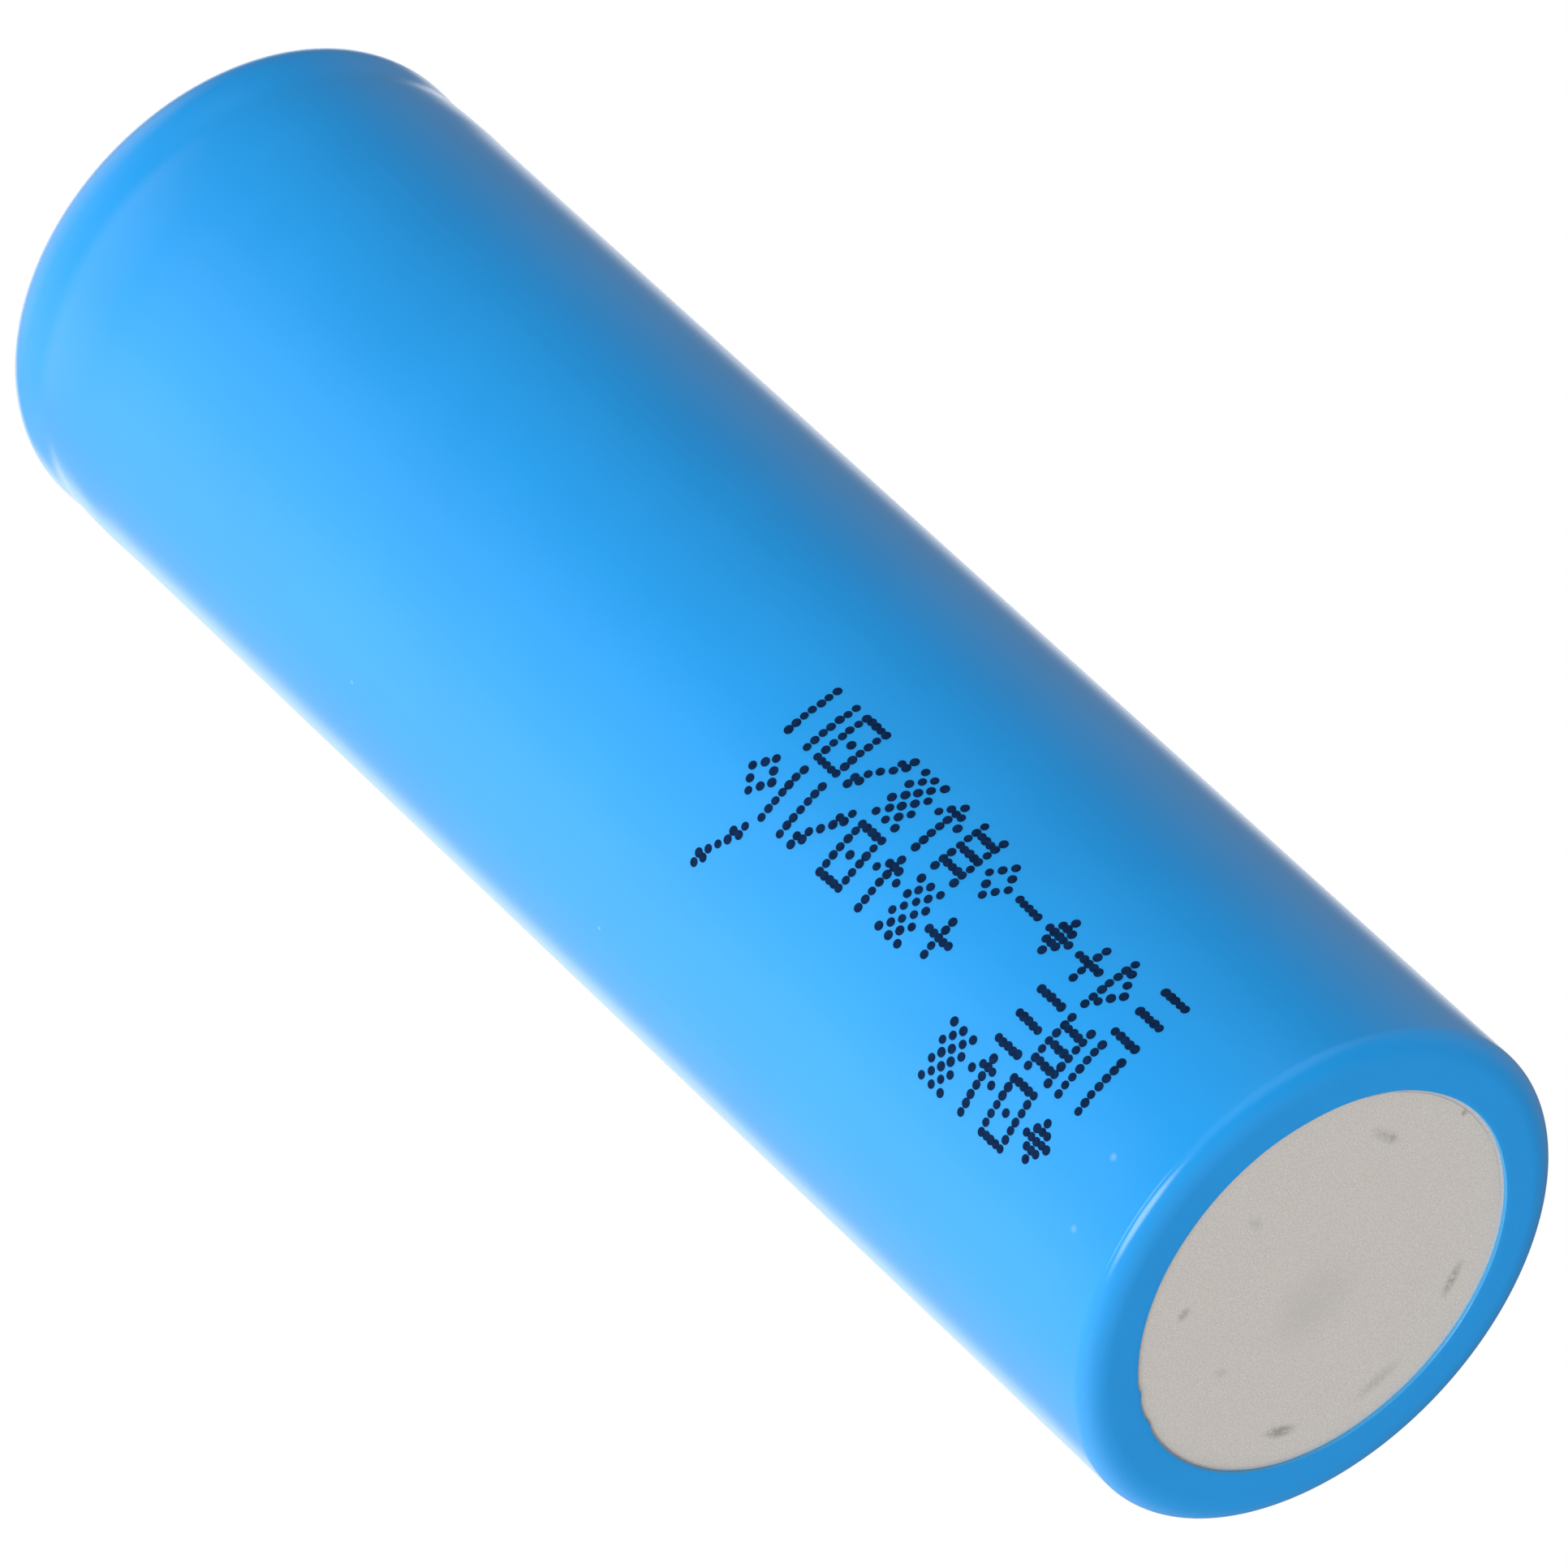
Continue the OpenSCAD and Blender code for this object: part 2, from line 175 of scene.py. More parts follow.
def waves(seed, low, high, count):
    """A smooth random function of angle made of a few whole waves, between -1 and 1."""
    draw = random.Random(seed)
    terms = []
    for _ in range(count):
        terms.append((draw.randint(low, high), draw.uniform(0, 2 * math.pi), draw.uniform(0.4, 1)))
    total = sum(weight for _, _, weight in terms)
    return lambda a: sum(w * math.sin(n * a + p) for n, p, w in terms) / total


def bell(x, centre, width):
    """A smooth bump of height 1 at centre."""
    return math.exp(-((x - centre) / width) ** 2)


def smooth(x, start, end):
    """Goes smoothly from 0 where x is start to 1 where x is end."""
    t = min(1, max(0, (x - start) / (end - start)))
    return t * t * (3 - 2 * t)


# ---------------------------------------------------------------- materials

def add_node(tree, kind, inputs=(), **settings):
    """Adds a node. inputs are (socket, value or output) pairs."""
    node = tree.nodes.new(kind)
    for key, value in settings.items():
        setattr(node, key, value)
    for socket, value in inputs:
        if isinstance(value, bpy.types.NodeSocket):
            tree.links.new(value, node.inputs[socket])
        else:
            node.inputs[socket].default_value = value
    return node


class Look:
    """A node material built round one Principled shader. The object's own coordinates are in metres."""

    def __init__(self, name, color, roughness, metallic=0.0, ior=1.5):
        self.material = bpy.data.materials.new(name)
        self.material.use_nodes = True
        self.tree = self.material.node_tree
        self.shader = next(n for n in self.tree.nodes if n.type == "BSDF_PRINCIPLED")
        self.set("Base Color", (*color, 1))
        self.set("Roughness", roughness)
        self.set("Metallic", metallic)
        self.set("IOR", ior)
        self.color = color
        self.place = self.add("ShaderNodeTexCoord").outputs["Object"]

    def set(self, socket, value):
        """Gives one of the shader's sockets a value, or links it to an output."""
        if isinstance(value, bpy.types.NodeSocket):
            self.tree.links.new(value, self.shader.inputs[socket])
        else:
            self.shader.inputs[socket].default_value = value

    def add(self, kind, inputs=(), **settings):
        """Adds a node to the material."""
        return add_node(self.tree, kind, inputs, **settings)

    def stretched(self, scale):
        """The object's coordinates, multiplied along each axis."""
        return self.add("ShaderNodeMapping", [("Vector", self.place), ("Scale", scale)]).outputs["Vector"]

    def noise(self, size, detail=3.0, rough=0.55, at=None, distortion=0.0):
        """Noise with features of about size metres, from 0 to 1."""
        return self.add("ShaderNodeTexNoise", [
            ("Vector", at or self.place), ("Scale", 1 / size), ("Detail", detail),
            ("Roughness", rough), ("Distortion", distortion)]).outputs["Fac"]

    def spots(self, size, radius, share, soft=0.3):
        """Round spots, one in some of the cells of about size metres: 1 inside, 0 outside."""
        cells = self.add("ShaderNodeTexVoronoi", [("Vector", self.place), ("Scale", 1 / size)])
        inside = self.ramp(cells.outputs["Distance"], radius / size, radius / size * (1 - soft))
        picked = self.add("ShaderNodeSeparateColor", [("Color", cells.outputs["Color"])]).outputs["Red"]
        return self.math("MULTIPLY", inside, self.ramp(picked, 1 - share, 1 - share + 0.001))

    def ramp(self, value, low, high, to_low=0.0, to_high=1.0):
        """Maps low..high smoothly to to_low..to_high."""
        return self.add("ShaderNodeMapRange", [
            ("Value", value), ("From Min", low), ("From Max", high),
            ("To Min", to_low), ("To Max", to_high)], interpolation_type="SMOOTHSTEP").outputs["Result"]

    def math(self, operation, a, b=0.0):
        """One sum on two values or outputs."""
        return self.add("ShaderNodeMath", [(0, a), (1, b)], operation=operation).outputs[0]

    def mix(self, share, a, b):
        """A colour between a and b."""
        a, b = [c if isinstance(c, bpy.types.NodeSocket) else (*c, 1) for c in (a, b)]
        return self.add("ShaderNodeMix", [(0, share), (6, a), (7, b)], data_type="RGBA").outputs[2]

    def bump(self, height, depth, strength=1.0):
        """Bumps of depth metres, on top of those that were added before."""
        inputs = [("Height", height), ("Distance", depth), ("Strength", strength)]
        normal = self.shader.inputs["Normal"]
        if normal.is_linked:
            inputs.append(("Normal", normal.links[0].from_socket))
        self.set("Normal", self.add("ShaderNodeBump", inputs).outputs["Normal"])

    def mark(self, centre, size, turn=0.0):
        """A soft oval mark, turned about Z: 1 in its middle, 0 outside. Its centre and size are in mm."""
        inner = self.add("ShaderNodeMapping", [
            ("Vector", self.place), ("Location", tuple(c * MM for c in centre)),
            ("Rotation", (0, 0, math.radians(turn))), ("Scale", tuple(d / 2 * MM for d in size))],
            vector_type="TEXTURE").outputs["Vector"]
        away = self.add("ShaderNodeVectorMath", [("Vector", inner)], operation="LENGTH").outputs["Value"]
        return self.ramp(away, 1.0, 0.1)

    def faces_axis(self):
        """1 where the surface faces the axis, as a cut edge of the film does."""
        out = self.add("ShaderNodeVectorMath", [("Vector", self.stretched((1, 1, 0)))], operation="NORMALIZE")
        facing = self.add("ShaderNodeTexCoord").outputs["Normal"]
        turned = self.add("ShaderNodeVectorMath", [
            (0, facing), (1, out.outputs["Vector"])], operation="DOT_PRODUCT").outputs["Value"]
        return self.ramp(turned, -0.45, -0.7)

    def from_axis(self):
        """Distance from the cell's axis."""
        flat = self.stretched((1, 1, 0))
        return self.add("ShaderNodeVectorMath", [("Vector", flat)], operation="LENGTH").outputs["Value"]

    def dress(self, *objects):
        """Puts the material on these objects."""
        for o in objects:
            o.data.materials.clear()
            o.data.materials.append(self.material)


def shade(color, factor):
    """A lighter or darker version of a colour."""
    return tuple(min(1.0, c * factor) for c in color)


# Dust on the film: angle from the front, height, size, and how white it is, in degrees and millimetres
DUST = (
    (-9.6, 2.9, 0.42, 0.22),
    (-25.8, 2.7, 0.40, 0.16),
    (-50.8, 46.4, 0.24, 0.2),
    (-53.6, 30.2, 0.24, 0.2),
)
# Height of the marks on the base, in millimetres along the axis, so that they show nowhere else on the can
MARK_HEIGHT = 4
# Rub marks on the base: x, y, length, width, the way they lie in degrees, and how dark they are
RUB_MARKS = (
    (5.4, -3.0, 2.2, 0.7, 80, 0.35),
    (5.5, -2.6, 0.9, 0.7, 90, 0.5),
    (3.2, 5.9, 2.2, 0.7, 154, 0.6),
    (-5.0, 4.4, 2.0, 0.8, 54, 0.75),
    (-4.1, -4.7, 0.9, 0.7, 160, 0.5),
    (-1.3, 6.7, 3.0, 0.9, 10, 0.3),
    (7.9, -0.4, 0.5, 0.4, 95, 0.7),
    (0.0, -5.2, 1.4, 0.7, 90, 0.22),
    (-4.8, -0.7, 1.0, 0.5, 70, 0.25),
)


def film_look():
    """Shrunk film: even sky blue with a satin gloss, faint draw lines, a few dust specks, and a painted
    highlight on its cut edges.
    """
    look = Look("film", (0.008, 0.328, 0.82), 0.24, ior=1.55)
    cloud = look.ramp(look.noise(9 * MM, 2), 0.3, 0.7)
    blue = look.mix(cloud, shade(look.color, 0.98), shade(look.color, 1.02))
    # Surfaces facing the axis, the film's cut edges, get a paler blue: a painted highlight on the cut edge.
    blue = look.mix(look.faces_axis(), blue, (0.05, 0.36, 0.72))
    lines = look.noise(0.35 * MM, 2, at=look.stretched((1, 1, 0.05)))
    dust = look.spots(7 * MM, 0.06 * MM, 0.05, 0.6)
    for angle, height, size, strength in DUST:
        a = math.radians(FRONT + angle)
        at = (SLEEVE_R * math.cos(a), SLEEVE_R * math.sin(a), height)
        speck = look.math("MULTIPLY", look.mark(at, (size, size, size)), strength)
        dust = look.math("MAXIMUM", dust, speck)
    look.set("Base Color", look.mix(dust, blue, (0.60, 0.80, 0.95)))
    look.set("Roughness", look.ramp(lines, 0.25, 0.75, 0.225, 0.255))
    look.bump(lines, 0.0002 * MM)
    look.bump(look.noise(2.2 * MM, 1), 0.0015 * MM)
    look.bump(look.noise(0.09 * MM, 2), 0.0005 * MM)
    look.bump(dust, 0.01 * MM)
    return look


def ink_look():
    """Dark navy ink, a little uneven where each drop dried."""
    look = Look("ink", (0.002, 0.018, 0.068), 0.6, ior=1.12)
    pool = look.noise(0.16 * MM, 3)
    look.set("Base Color", look.mix(look.ramp(pool, 0.3, 0.75), (0.001, 0.013, 0.050), (0.004, 0.026, 0.095)))
    look.set("Roughness", look.ramp(pool, 0.3, 0.7, 0.5, 0.7))
    look.bump(pool, 0.002 * MM)
    return look


def base_metal_look():
    """Matte nickel plating on drawn steel: fine grain, rub marks from handling, and a weld's shadow."""
    look = Look("nickel_plated_steel", (0.77, 0.727, 0.683), 0.6, 0.35)
    grain = look.noise(0.075 * MM, 4, 0.75)
    broken = look.noise(0.16 * MM, 3, 0.7)
    patch = look.noise(2.8 * MM, 4, 0.6, distortion=0.4)
    weld = look.mark((-0.7, 0.6, 0), (5.6, 4.6, MARK_HEIGHT), 13)
    weld_shadow = look.math("MULTIPLY", weld, look.ramp(patch, 0.2, 0.6, 0.15, 0.45))
    color = look.mix(look.ramp(grain, 0.28, 0.72), shade(look.color, 0.84), shade(look.color, 1.16))
    color = look.mix(look.ramp(patch, 0.42, 0.75, 0, 0.25), color, shade(look.color, 0.90))
    color = look.mix(weld_shadow, color, shade(look.color, 0.80))
    rubbed = 0.0
    for x, y, length, width, turn, depth in RUB_MARKS:
        mark = look.mark((x, y, 0), (length, width, MARK_HEIGHT), turn)
        rubbed = look.math("MAXIMUM", look.math("MULTIPLY", mark, depth), rubbed)
    rubbed = look.math("MULTIPLY", rubbed, look.ramp(broken, 0.30, 0.52))
    color = look.mix(rubbed, color, shade(look.color, 0.38))
    look.set("Base Color", color)
    look.set("Roughness", look.ramp(patch, 0.3, 0.7, 0.57, 0.63))
    look.bump(grain, 0.004 * MM)
    look.bump(broken, 0.003 * MM)
    look.bump(look.noise(3 * MM, 1), 0.003 * MM)
    return look


def terminal_look():
    """Brighter nickel plating on pressed steel, with fine scratches from handling."""
    look = Look("terminal_steel", (0.66, 0.63, 0.59), 0.32, 1.0)
    grain = look.noise(0.07 * MM, 3, 0.6)
    scratches = look.noise(0.12 * MM, 2, at=look.stretched((1, 0.05, 1)), distortion=0.3)
    tint = look.noise(2.5 * MM, 3)
    color = look.mix(look.ramp(tint, 0.3, 0.7), shade(look.color, 0.90), shade(look.color, 1.05))
    color = look.mix(look.ramp(scratches, 0.62, 0.72, 0, 0.35), color, shade(look.color, 1.25))
    look.set("Base Color", color)
    look.set("Roughness", look.ramp(scratches, 0.3, 0.7, 0.27, 0.40))
    look.bump(scratches, 0.0015 * MM)
    look.bump(grain, 0.0012 * MM)
    return look


def fibre_look():
    """White pressed fibre paper with short fibres in it."""
    look = Look("fibre", (0.83, 0.82, 0.78), 0.78)
    fibres = look.noise(0.10 * MM, 4, 0.7, at=look.stretched((1, 0.22, 1)), distortion=1.2)
    across = look.noise(0.13 * MM, 4, 0.7, at=look.stretched((0.25, 1, 1)), distortion=1.0)
    blend = look.math("MULTIPLY", fibres, across)
    color = look.mix(look.ramp(blend, 0.14, 0.34), shade(look.color, 0.90), shade(look.color, 1.04))
    look.set("Base Color", look.mix(look.spots(2.2 * MM, 0.05 * MM, 0.25), color, (0.45, 0.40, 0.33)))
    look.bump(blend, 0.012 * MM)
    return look


def moulded_look(name, color, roughness):
    """Moulded or die-cut plastic, with a faint cloud and a fine skin texture."""
    look = Look(name, color, roughness)
    cloud = look.noise(1.6 * MM, 3)
    skin = look.noise(0.06 * MM, 2)
    look.set("Base Color", look.mix(look.ramp(cloud, 0.3, 0.7), shade(color, 0.94), shade(color, 1.05)))
    look.set("Roughness", look.ramp(skin, 0.3, 0.7, roughness - 0.06, roughness + 0.06))
    look.bump(skin, 0.001 * MM)
    return look


def rolled_look(name, color, roughness, along):
    """Rolled metal strip or sheet, with fine lines; along says how much the lines stretch on each axis."""
    look = Look(name, color, roughness, 1.0)
    lines = look.noise(0.05 * MM, 3, 0.65, at=look.stretched(along))
    stain = look.noise(1.8 * MM, 3)
    tone = look.mix(look.ramp(stain, 0.3, 0.75), shade(color, 0.88), shade(color, 1.04))
    look.set("Base Color", look.mix(look.ramp(lines, 0.35, 0.7, 0, 0.3), tone, shade(color, 1.2)))
    look.set("Roughness", look.ramp(lines, 0.3, 0.7, roughness - 0.07, roughness + 0.07))
    look.bump(lines, 0.0012 * MM)
    return look


def coating_look(name, color, sparkle):
    """Electrode coating: black powder in a binder, with a fine glitter of crystals and coating streaks."""
    look = Look(name, color, 0.72)
    powder = look.noise(0.03 * MM, 3, 0.7)
    streaks = look.noise(1.2 * MM, 3, at=look.stretched((1, 1, 0.04)))
    tone = look.mix(look.ramp(streaks, 0.35, 0.7), shade(color, 0.85), shade(color, 1.2))
    look.set("Base Color", look.mix(look.ramp(powder, 0.62, 0.72, 0, 0.5), tone, sparkle))
    look.set("Roughness", look.ramp(powder, 0.4, 0.7, 0.78, 0.50))
    look.bump(powder, 0.003 * MM)
    return look


def separator_look():
    """Microporous separator: milky white, with faint stretch lines."""
    look = Look("separator_film", (0.86, 0.86, 0.84), 0.42)
    lines = look.noise(0.4 * MM, 3, at=look.stretched((1, 1, 0.05)))
    color = look.mix(look.ramp(lines, 0.35, 0.7), shade(look.color, 0.94), shade(look.color, 1.06))
    look.set("Base Color", color)
    look.set("Roughness", look.ramp(lines, 0.3, 0.7, 0.36, 0.50))
    look.bump(lines, 0.001 * MM)
    return look


def tape_look(name, color):
    """Thin glossy tape with a slightly rippled adhesive under it."""
    look = Look(name, color, 0.22)
    ripple = look.noise(0.5 * MM, 2)
    bubbles = look.spots(0.9 * MM, 0.07 * MM, 0.35)
    tone = look.mix(look.ramp(ripple, 0.3, 0.7), shade(color, 0.9), shade(color, 1.1))
    look.set("Base Color", look.mix(bubbles, tone, shade(color, 1.35)))
    look.set("Roughness", look.ramp(ripple, 0.3, 0.7, 0.18, 0.28))
    look.bump(ripple, 0.003 * MM)
    return look


# ---------------------------------------------------------------- the sleeve

# The base opening's cut: how far it drifts in and at which angle most, its two tags, and its ragged edge
LIP_DRIFT = 0.14
LIP_DRIFT_AT = -114
LIP_TAGS = (-154, -166)
TAG_SIZE = 0.09
TAG_WIDTH = 1.7
LIP_RAG = waves(11, 3, 19, 5)
LIP_RAG_SIZE = 0.025
LIP_REACH = 0.9
LIP_REACH_UP = 0.3
# The top opening's cut and the puckers round it
TOP_RAG = waves(12, 5, 24, 6)
TOP_RAG_SIZE = 0.10
TOP_REACH = 1.2
TOP_PUCKER = waves(13, 18, 44, 7)
PUCKER_SIZE = 0.035
PUCKER_WIDTH = 0.9
# The long soft waves in the wall: how deep, where they have set in, and how they wander as they go up
DRAW = waves(14, 2, 6, 4)
DRAW_SIZE = 0.006
DRAW_FROM = 4
DRAW_UP = waves(15, 2, 5, 3)
DRAW_WANDER = 0.8
DRAW_LENGTH = 25


def outer_face():
    """The film's outer face, from the base opening up to the top opening."""
    corner = SLEEVE_R - BASE_CORNER_W
    shoulder = SLEEVE_R - SHOULDER_R
    low_edge = [(WINDOW_R, LIP_T)] + arc(WINDOW_R + LIP_EDGE_W, LIP_EDGE_W, LIP_EDGE_W, 180, 270, 5)
    lip = [(r, 0.0) for r in steps(WINDOW_R + LIP_EDGE_W, corner, 5)]
    rounded = oval(corner, BASE_CORNER_R, BASE_CORNER_W, BASE_CORNER_R, -90, 0, 18)[1:]
    heights = steps(BASE_CORNER_R, GROOVED_Z, 30) + steps(GROOVED_Z, SLEEVE_TOP - SHOULDER_R, 44)
    wall = [(SLEEVE_R + wall_shape(z), z) for z in heights]
    over = arc(shoulder, SLEEVE_TOP - SHOULDER_R, SHOULDER_R, 0, 90, 22)[1:]
    top = [(r, SLEEVE_TOP) for r in steps(shoulder, TOP_WINDOW_R + TOP_EDGE_W, 4)]
    top_edge = [(TOP_WINDOW_R, SLEEVE_TOP - TOP_EDGE_DROP)]
    return low_edge + lip + rounded + wall + over + top + top_edge


def inner_face():
    """The film's inner face, from the top opening down to the base opening, a hair inside the can's skin."""
    corner = BASE_CORNER_R - FILM_T
    shoulder = SHOULDER_R - FILM_T
    top = SLEEVE_TOP - FILM_T
    under = [(TOP_WINDOW_R, top)] + arc(SLEEVE_R - SHOULDER_R, SLEEVE_TOP - SHOULDER_R, shoulder, 90, 0, 12)
    heights = steps(SLEEVE_TOP - SHOULDER_R, GROOVED_Z, 22) + steps(GROOVED_Z, LIP_T + corner, 20)
    wall = [(SLEEVE_R - FILM_T + wall_shape(z), z) for z in heights]
    rounded = arc(SLEEVE_R - BASE_CORNER_R, LIP_T + corner, corner, 0, -90, 8)[1:]
    return under + wall + rounded


def wall_shape(z):
    """How far the wall stands out from a plain cylinder: the swell under the groove, and the dip over it."""
    return SWELL * bell(z, SWELL_Z, SWELL_W) - DIP * bell(z, GROOVE_Z, GROOVE_W)


def lip_drift(angle):
    """How far the base opening's edge lies inside its circle: more on one side, with two small tags."""
    side = 0.5 + 0.5 * math.cos(angle - math.radians(LIP_DRIFT_AT))
    turn = math.degrees(angle) % 360
    tags = sum(bell(turn, at % 360, TAG_WIDTH) for at in LIP_TAGS)
    return LIP_DRIFT * side + TAG_SIZE * tags - LIP_RAG_SIZE * LIP_RAG(angle)


def film_shift(r, z, angle):
    """The unevenness that shrinking leaves: ragged cuts, soft waves in the wall, and a puckered top."""
    at_cut = smooth(r, WINDOW_R + LIP_REACH, WINDOW_R) * smooth(z, LIP_T + LIP_REACH_UP, LIP_T)
    at_top = max(0, 1 - (SLEEVE_TOP - z) / SHOULDER_R)
    top_cut = max(0, 1 - (r - TOP_WINDOW_R) / TOP_REACH) * at_top
    on_wall = smooth(z, BASE_CORNER_R, DRAW_FROM) * (1 - at_top)
    wave = 1 + DRAW(angle + DRAW_WANDER * DRAW_UP(z / DRAW_LENGTH))
    pucker = bell(r, TOP_WINDOW_R + PUCKER_WIDTH, PUCKER_WIDTH) * at_top
    dr = TOP_RAG_SIZE * TOP_RAG(angle) * top_cut - lip_drift(angle) * at_cut - DRAW_SIZE * wave * on_wall
    return dr, -PUCKER_SIZE * pucker * (0.5 + 0.5 * TOP_PUCKER(angle))


def make_sleeve():
    """The shrunk film as a closed skin that stands for the CAD sleeve."""
    sleeve = lathe("shrink_sleeve", outer_face() + inner_face(), SEGMENTS, film_shift, smooth_angle=50)
    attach(sleeve, BODY)
    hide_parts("sleeve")
    return sleeve


# ---------------------------------------------------------------- the printed marks

# Generic marks, 5 dots along by 7 round. They stand where a maker's code would be, and none is a letter
MARKS = {
    "plus": ("     ", "  #  ", "  #  ", "#####", "  #  ", "  #  ", "     "),
    "ladder": ("#   #", "#####", "#   #", "#####", "#   #", "#####", "#   #"),
    "lozenge": ("     ", "  #  ", " # # ", "#   #", " # # ", "  #  ", "     "),
    "rails": ("#   #", "#   #", "#   #", "#   #", "#   #", "#   #", "#   #"),
    "checks": ("# # #", " # # ", "# # #", " # # ", "# # #", " # # ", "# # #"),
    "slope": ("    #", "   ##", "   # ", "  #  ", " #   ", "##   ", "#    "),
    "arrow": ("  #  ", " ### ", "# # #", "  #  ", "  #  ", "  #  ", "  #  "),
    "frame": ("#####", "#   #", "#   #", "# # #", "#   #", "#   #", "#####"),
    "rules": ("#####", "     ", "     ", "#####", "     ", "     ", "#####"),
    "minus": ("     ", "     ", "     ", "#####", "     ", "     ", "     "),
    "pip": ("     ", "  #  ", " ### ", "#####", " ### ", "  #  ", "     "),
    "wedge": ("#    ", "##   ", "# #  ", "#  # ", "# #  ", "##   ", "#    "),
}
# Each run of marks: angle of its middle row from the front, height at which it starts, and its marks
RUNS = (
    (14.8, 26.7, "rails frame slope checks arrow ladder lozenge minus pip plus wedge rules"),
    (-1.5, 26.7, "lozenge rails slope frame arrow checks plus"),
    (-1.5, 10.2, "rules ladder rails"),
    (-17.8, 26.4, "slope"),
    (-17.8, 12.2, "checks arrow frame pip"),
)
MARK_STEP = 1.83
DOT_STEP_ALONG = 0.29
DOT_STEP_ROUND = 0.385
DOT_R = 0.185
DOT_SIDES = 14
DOT_STRAY = 0.02
MIDDLE_ROW = 3
INK_T = 0.006
INK_SUNK = 0.02
# A drop's section over the film: shares of its height and of its radius
DROP_SECTION = ((0.45, 1.0), (0.9, 0.72))


def add_dot(bm, angle, z, radius, height):
    """One dried drop of ink on the film: a low dome with a round outline, its foot just inside the film."""

    def place(r, across, along):
        a = angle + across / SLEEVE_R
        return bm.verts.new((r * math.cos(a), r * math.sin(a), z + along))

    turn = [2 * math.pi * i / DOT_SIDES for i in range(DOT_SIDES)]
    levels = [(SLEEVE_R - INK_SUNK, radius)]
    levels += [(SLEEVE_R + height * up, radius * wide) for up, wide in DROP_SECTION]
    rings = [[place(r, wide * math.cos(t), wide * math.sin(t)) for t in turn] for r, wide in levels]
    peak = place(SLEEVE_R + height, 0, 0)
    foot = place(SLEEVE_R - INK_SUNK, 0, 0)
    for i in range(DOT_SIDES):
        j = (i + 1) % DOT_SIDES
        bm.faces.new((foot, rings[0][j], rings[0][i]))
        for low, high in zip(rings, rings[1:]):
            bm.faces.new((low[i], low[j], high[j], high[i]))
        bm.faces.new((rings[-1][i], rings[-1][j], peak))


def dots_of(name):
    """Row and column of each dot of a mark."""
    lines = enumerate(MARKS[name])
    return [(row, column) for row, line in lines for column, dot in enumerate(line) if dot != " "]


def make_print():
    """The printed marks: rows of ink dots on the film, reading towards the base."""
    draw = random.Random(7)
    bm = bmesh.new()
    for middle, start, names in RUNS:
        for place, name in enumerate(names.split()):
            for row, column in dots_of(name):
                across = (MIDDLE_ROW - row) * DOT_STEP_ROUND + draw.uniform(-DOT_STRAY, DOT_STRAY)
                down = place * MARK_STEP + column * DOT_STEP_ALONG + draw.uniform(-DOT_STRAY, DOT_STRAY)
                angle = math.radians(FRONT + middle) + across / SLEEVE_R
                radius = DOT_R * draw.uniform(0.92, 1.08)
                add_dot(bm, angle, start - down, radius, INK_T * draw.uniform(0.8, 1.2))
    marks = mesh_object("printed_marks", bm, smooth_angle=60)
    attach(marks, BODY)
    return marks


# ---------------------------------------------------------------- the positive end

WASHER_HOLE_R = 6.4
WASHER_EDGE = 0.04
WASHER_ROUND_FROM = 0.7
WASHER_FOOT_IN = 0.4
FIBRE_RAG = waves(21, 9, 40, 8)
FIBRE_RAG_SIZE = 0.02
FIBRE_RAG_REACH = 0.5
FIBRE_LUMP = waves(22, 30, 90, 9)
FIBRE_LUMP_SIZE = 0.006


def make_washer():
    """The fibre washer: a ring with a slightly ragged hole and a rounded rim under the film's shoulder."""
    hole, soft = WASHER_HOLE_R, WASHER_EDGE
    rim = radius_of("washer") / MM
    low, high = floor_of("washer") / MM, top_of("washer") / MM
    outline = [(hole, low + soft), (hole, high - soft), (hole + soft, high)]
    outline += [(r, high) for r in steps(hole + soft, rim - WASHER_ROUND_FROM, 12)]
    outline += arc(rim - WASHER_ROUND_FROM, low, high - low, 90, 20, 5)[1:]
    outline += [(r, low) for r in steps(rim - WASHER_FOOT_IN, hole + soft, 8)]

    def shift(r, z, angle):
        at_hole = max(0, 1 - (r - hole) / FIBRE_RAG_REACH)
        lump = -FIBRE_LUMP_SIZE * (1 + FIBRE_LUMP(angle + r)) if z > high - soft / 2 else 0
        return FIBRE_RAG_SIZE * FIBRE_RAG(angle) * at_hole, lump

    washer = lathe("fibre_washer", outline, 192, shift, smooth_angle=50)
    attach(washer, BODY)
    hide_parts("washer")
    return washer


def cap_outline():
    """Section of the pressed terminal: flat top, slanted wall and flange, with rounded bends."""
    top, seat, under = CELL_TOP, FLANGE_Z + CAP_T, FLANGE_Z
    rim = radius_of("terminal_cap") / MM
    crown = arc(CAP_TOP_R - CAP_BEND_R, top - CAP_BEND_R, CAP_BEND_R, 90, CAP_LEAN, 8)
    foot = arc(CAP_FOOT_R + CAP_FOOT_BEND / 2, seat + CAP_FOOT_BEND, CAP_FOOT_BEND, 180 + CAP_LEAN, 270, 6)
    edge = [(rim - CAP_EDGE, seat), (rim, seat - CAP_EDGE), (rim, under + CAP_EDGE), (rim - CAP_EDGE, under)]
    bend, start, end = CAP_INNER_BEND, CAP_FOOT_R - CAP_FOOT_IN, CAP_TOP_R - CAP_CROWN_IN
    hollow = [(start, under), (start - bend, under + bend),
              (end + bend, top - CAP_T - bend / 2), (end, top - CAP_T), (0, top - CAP_T)]
    return [(0, top), (CAP_TOP_R / 2, top)] + crown + foot + edge + hollow


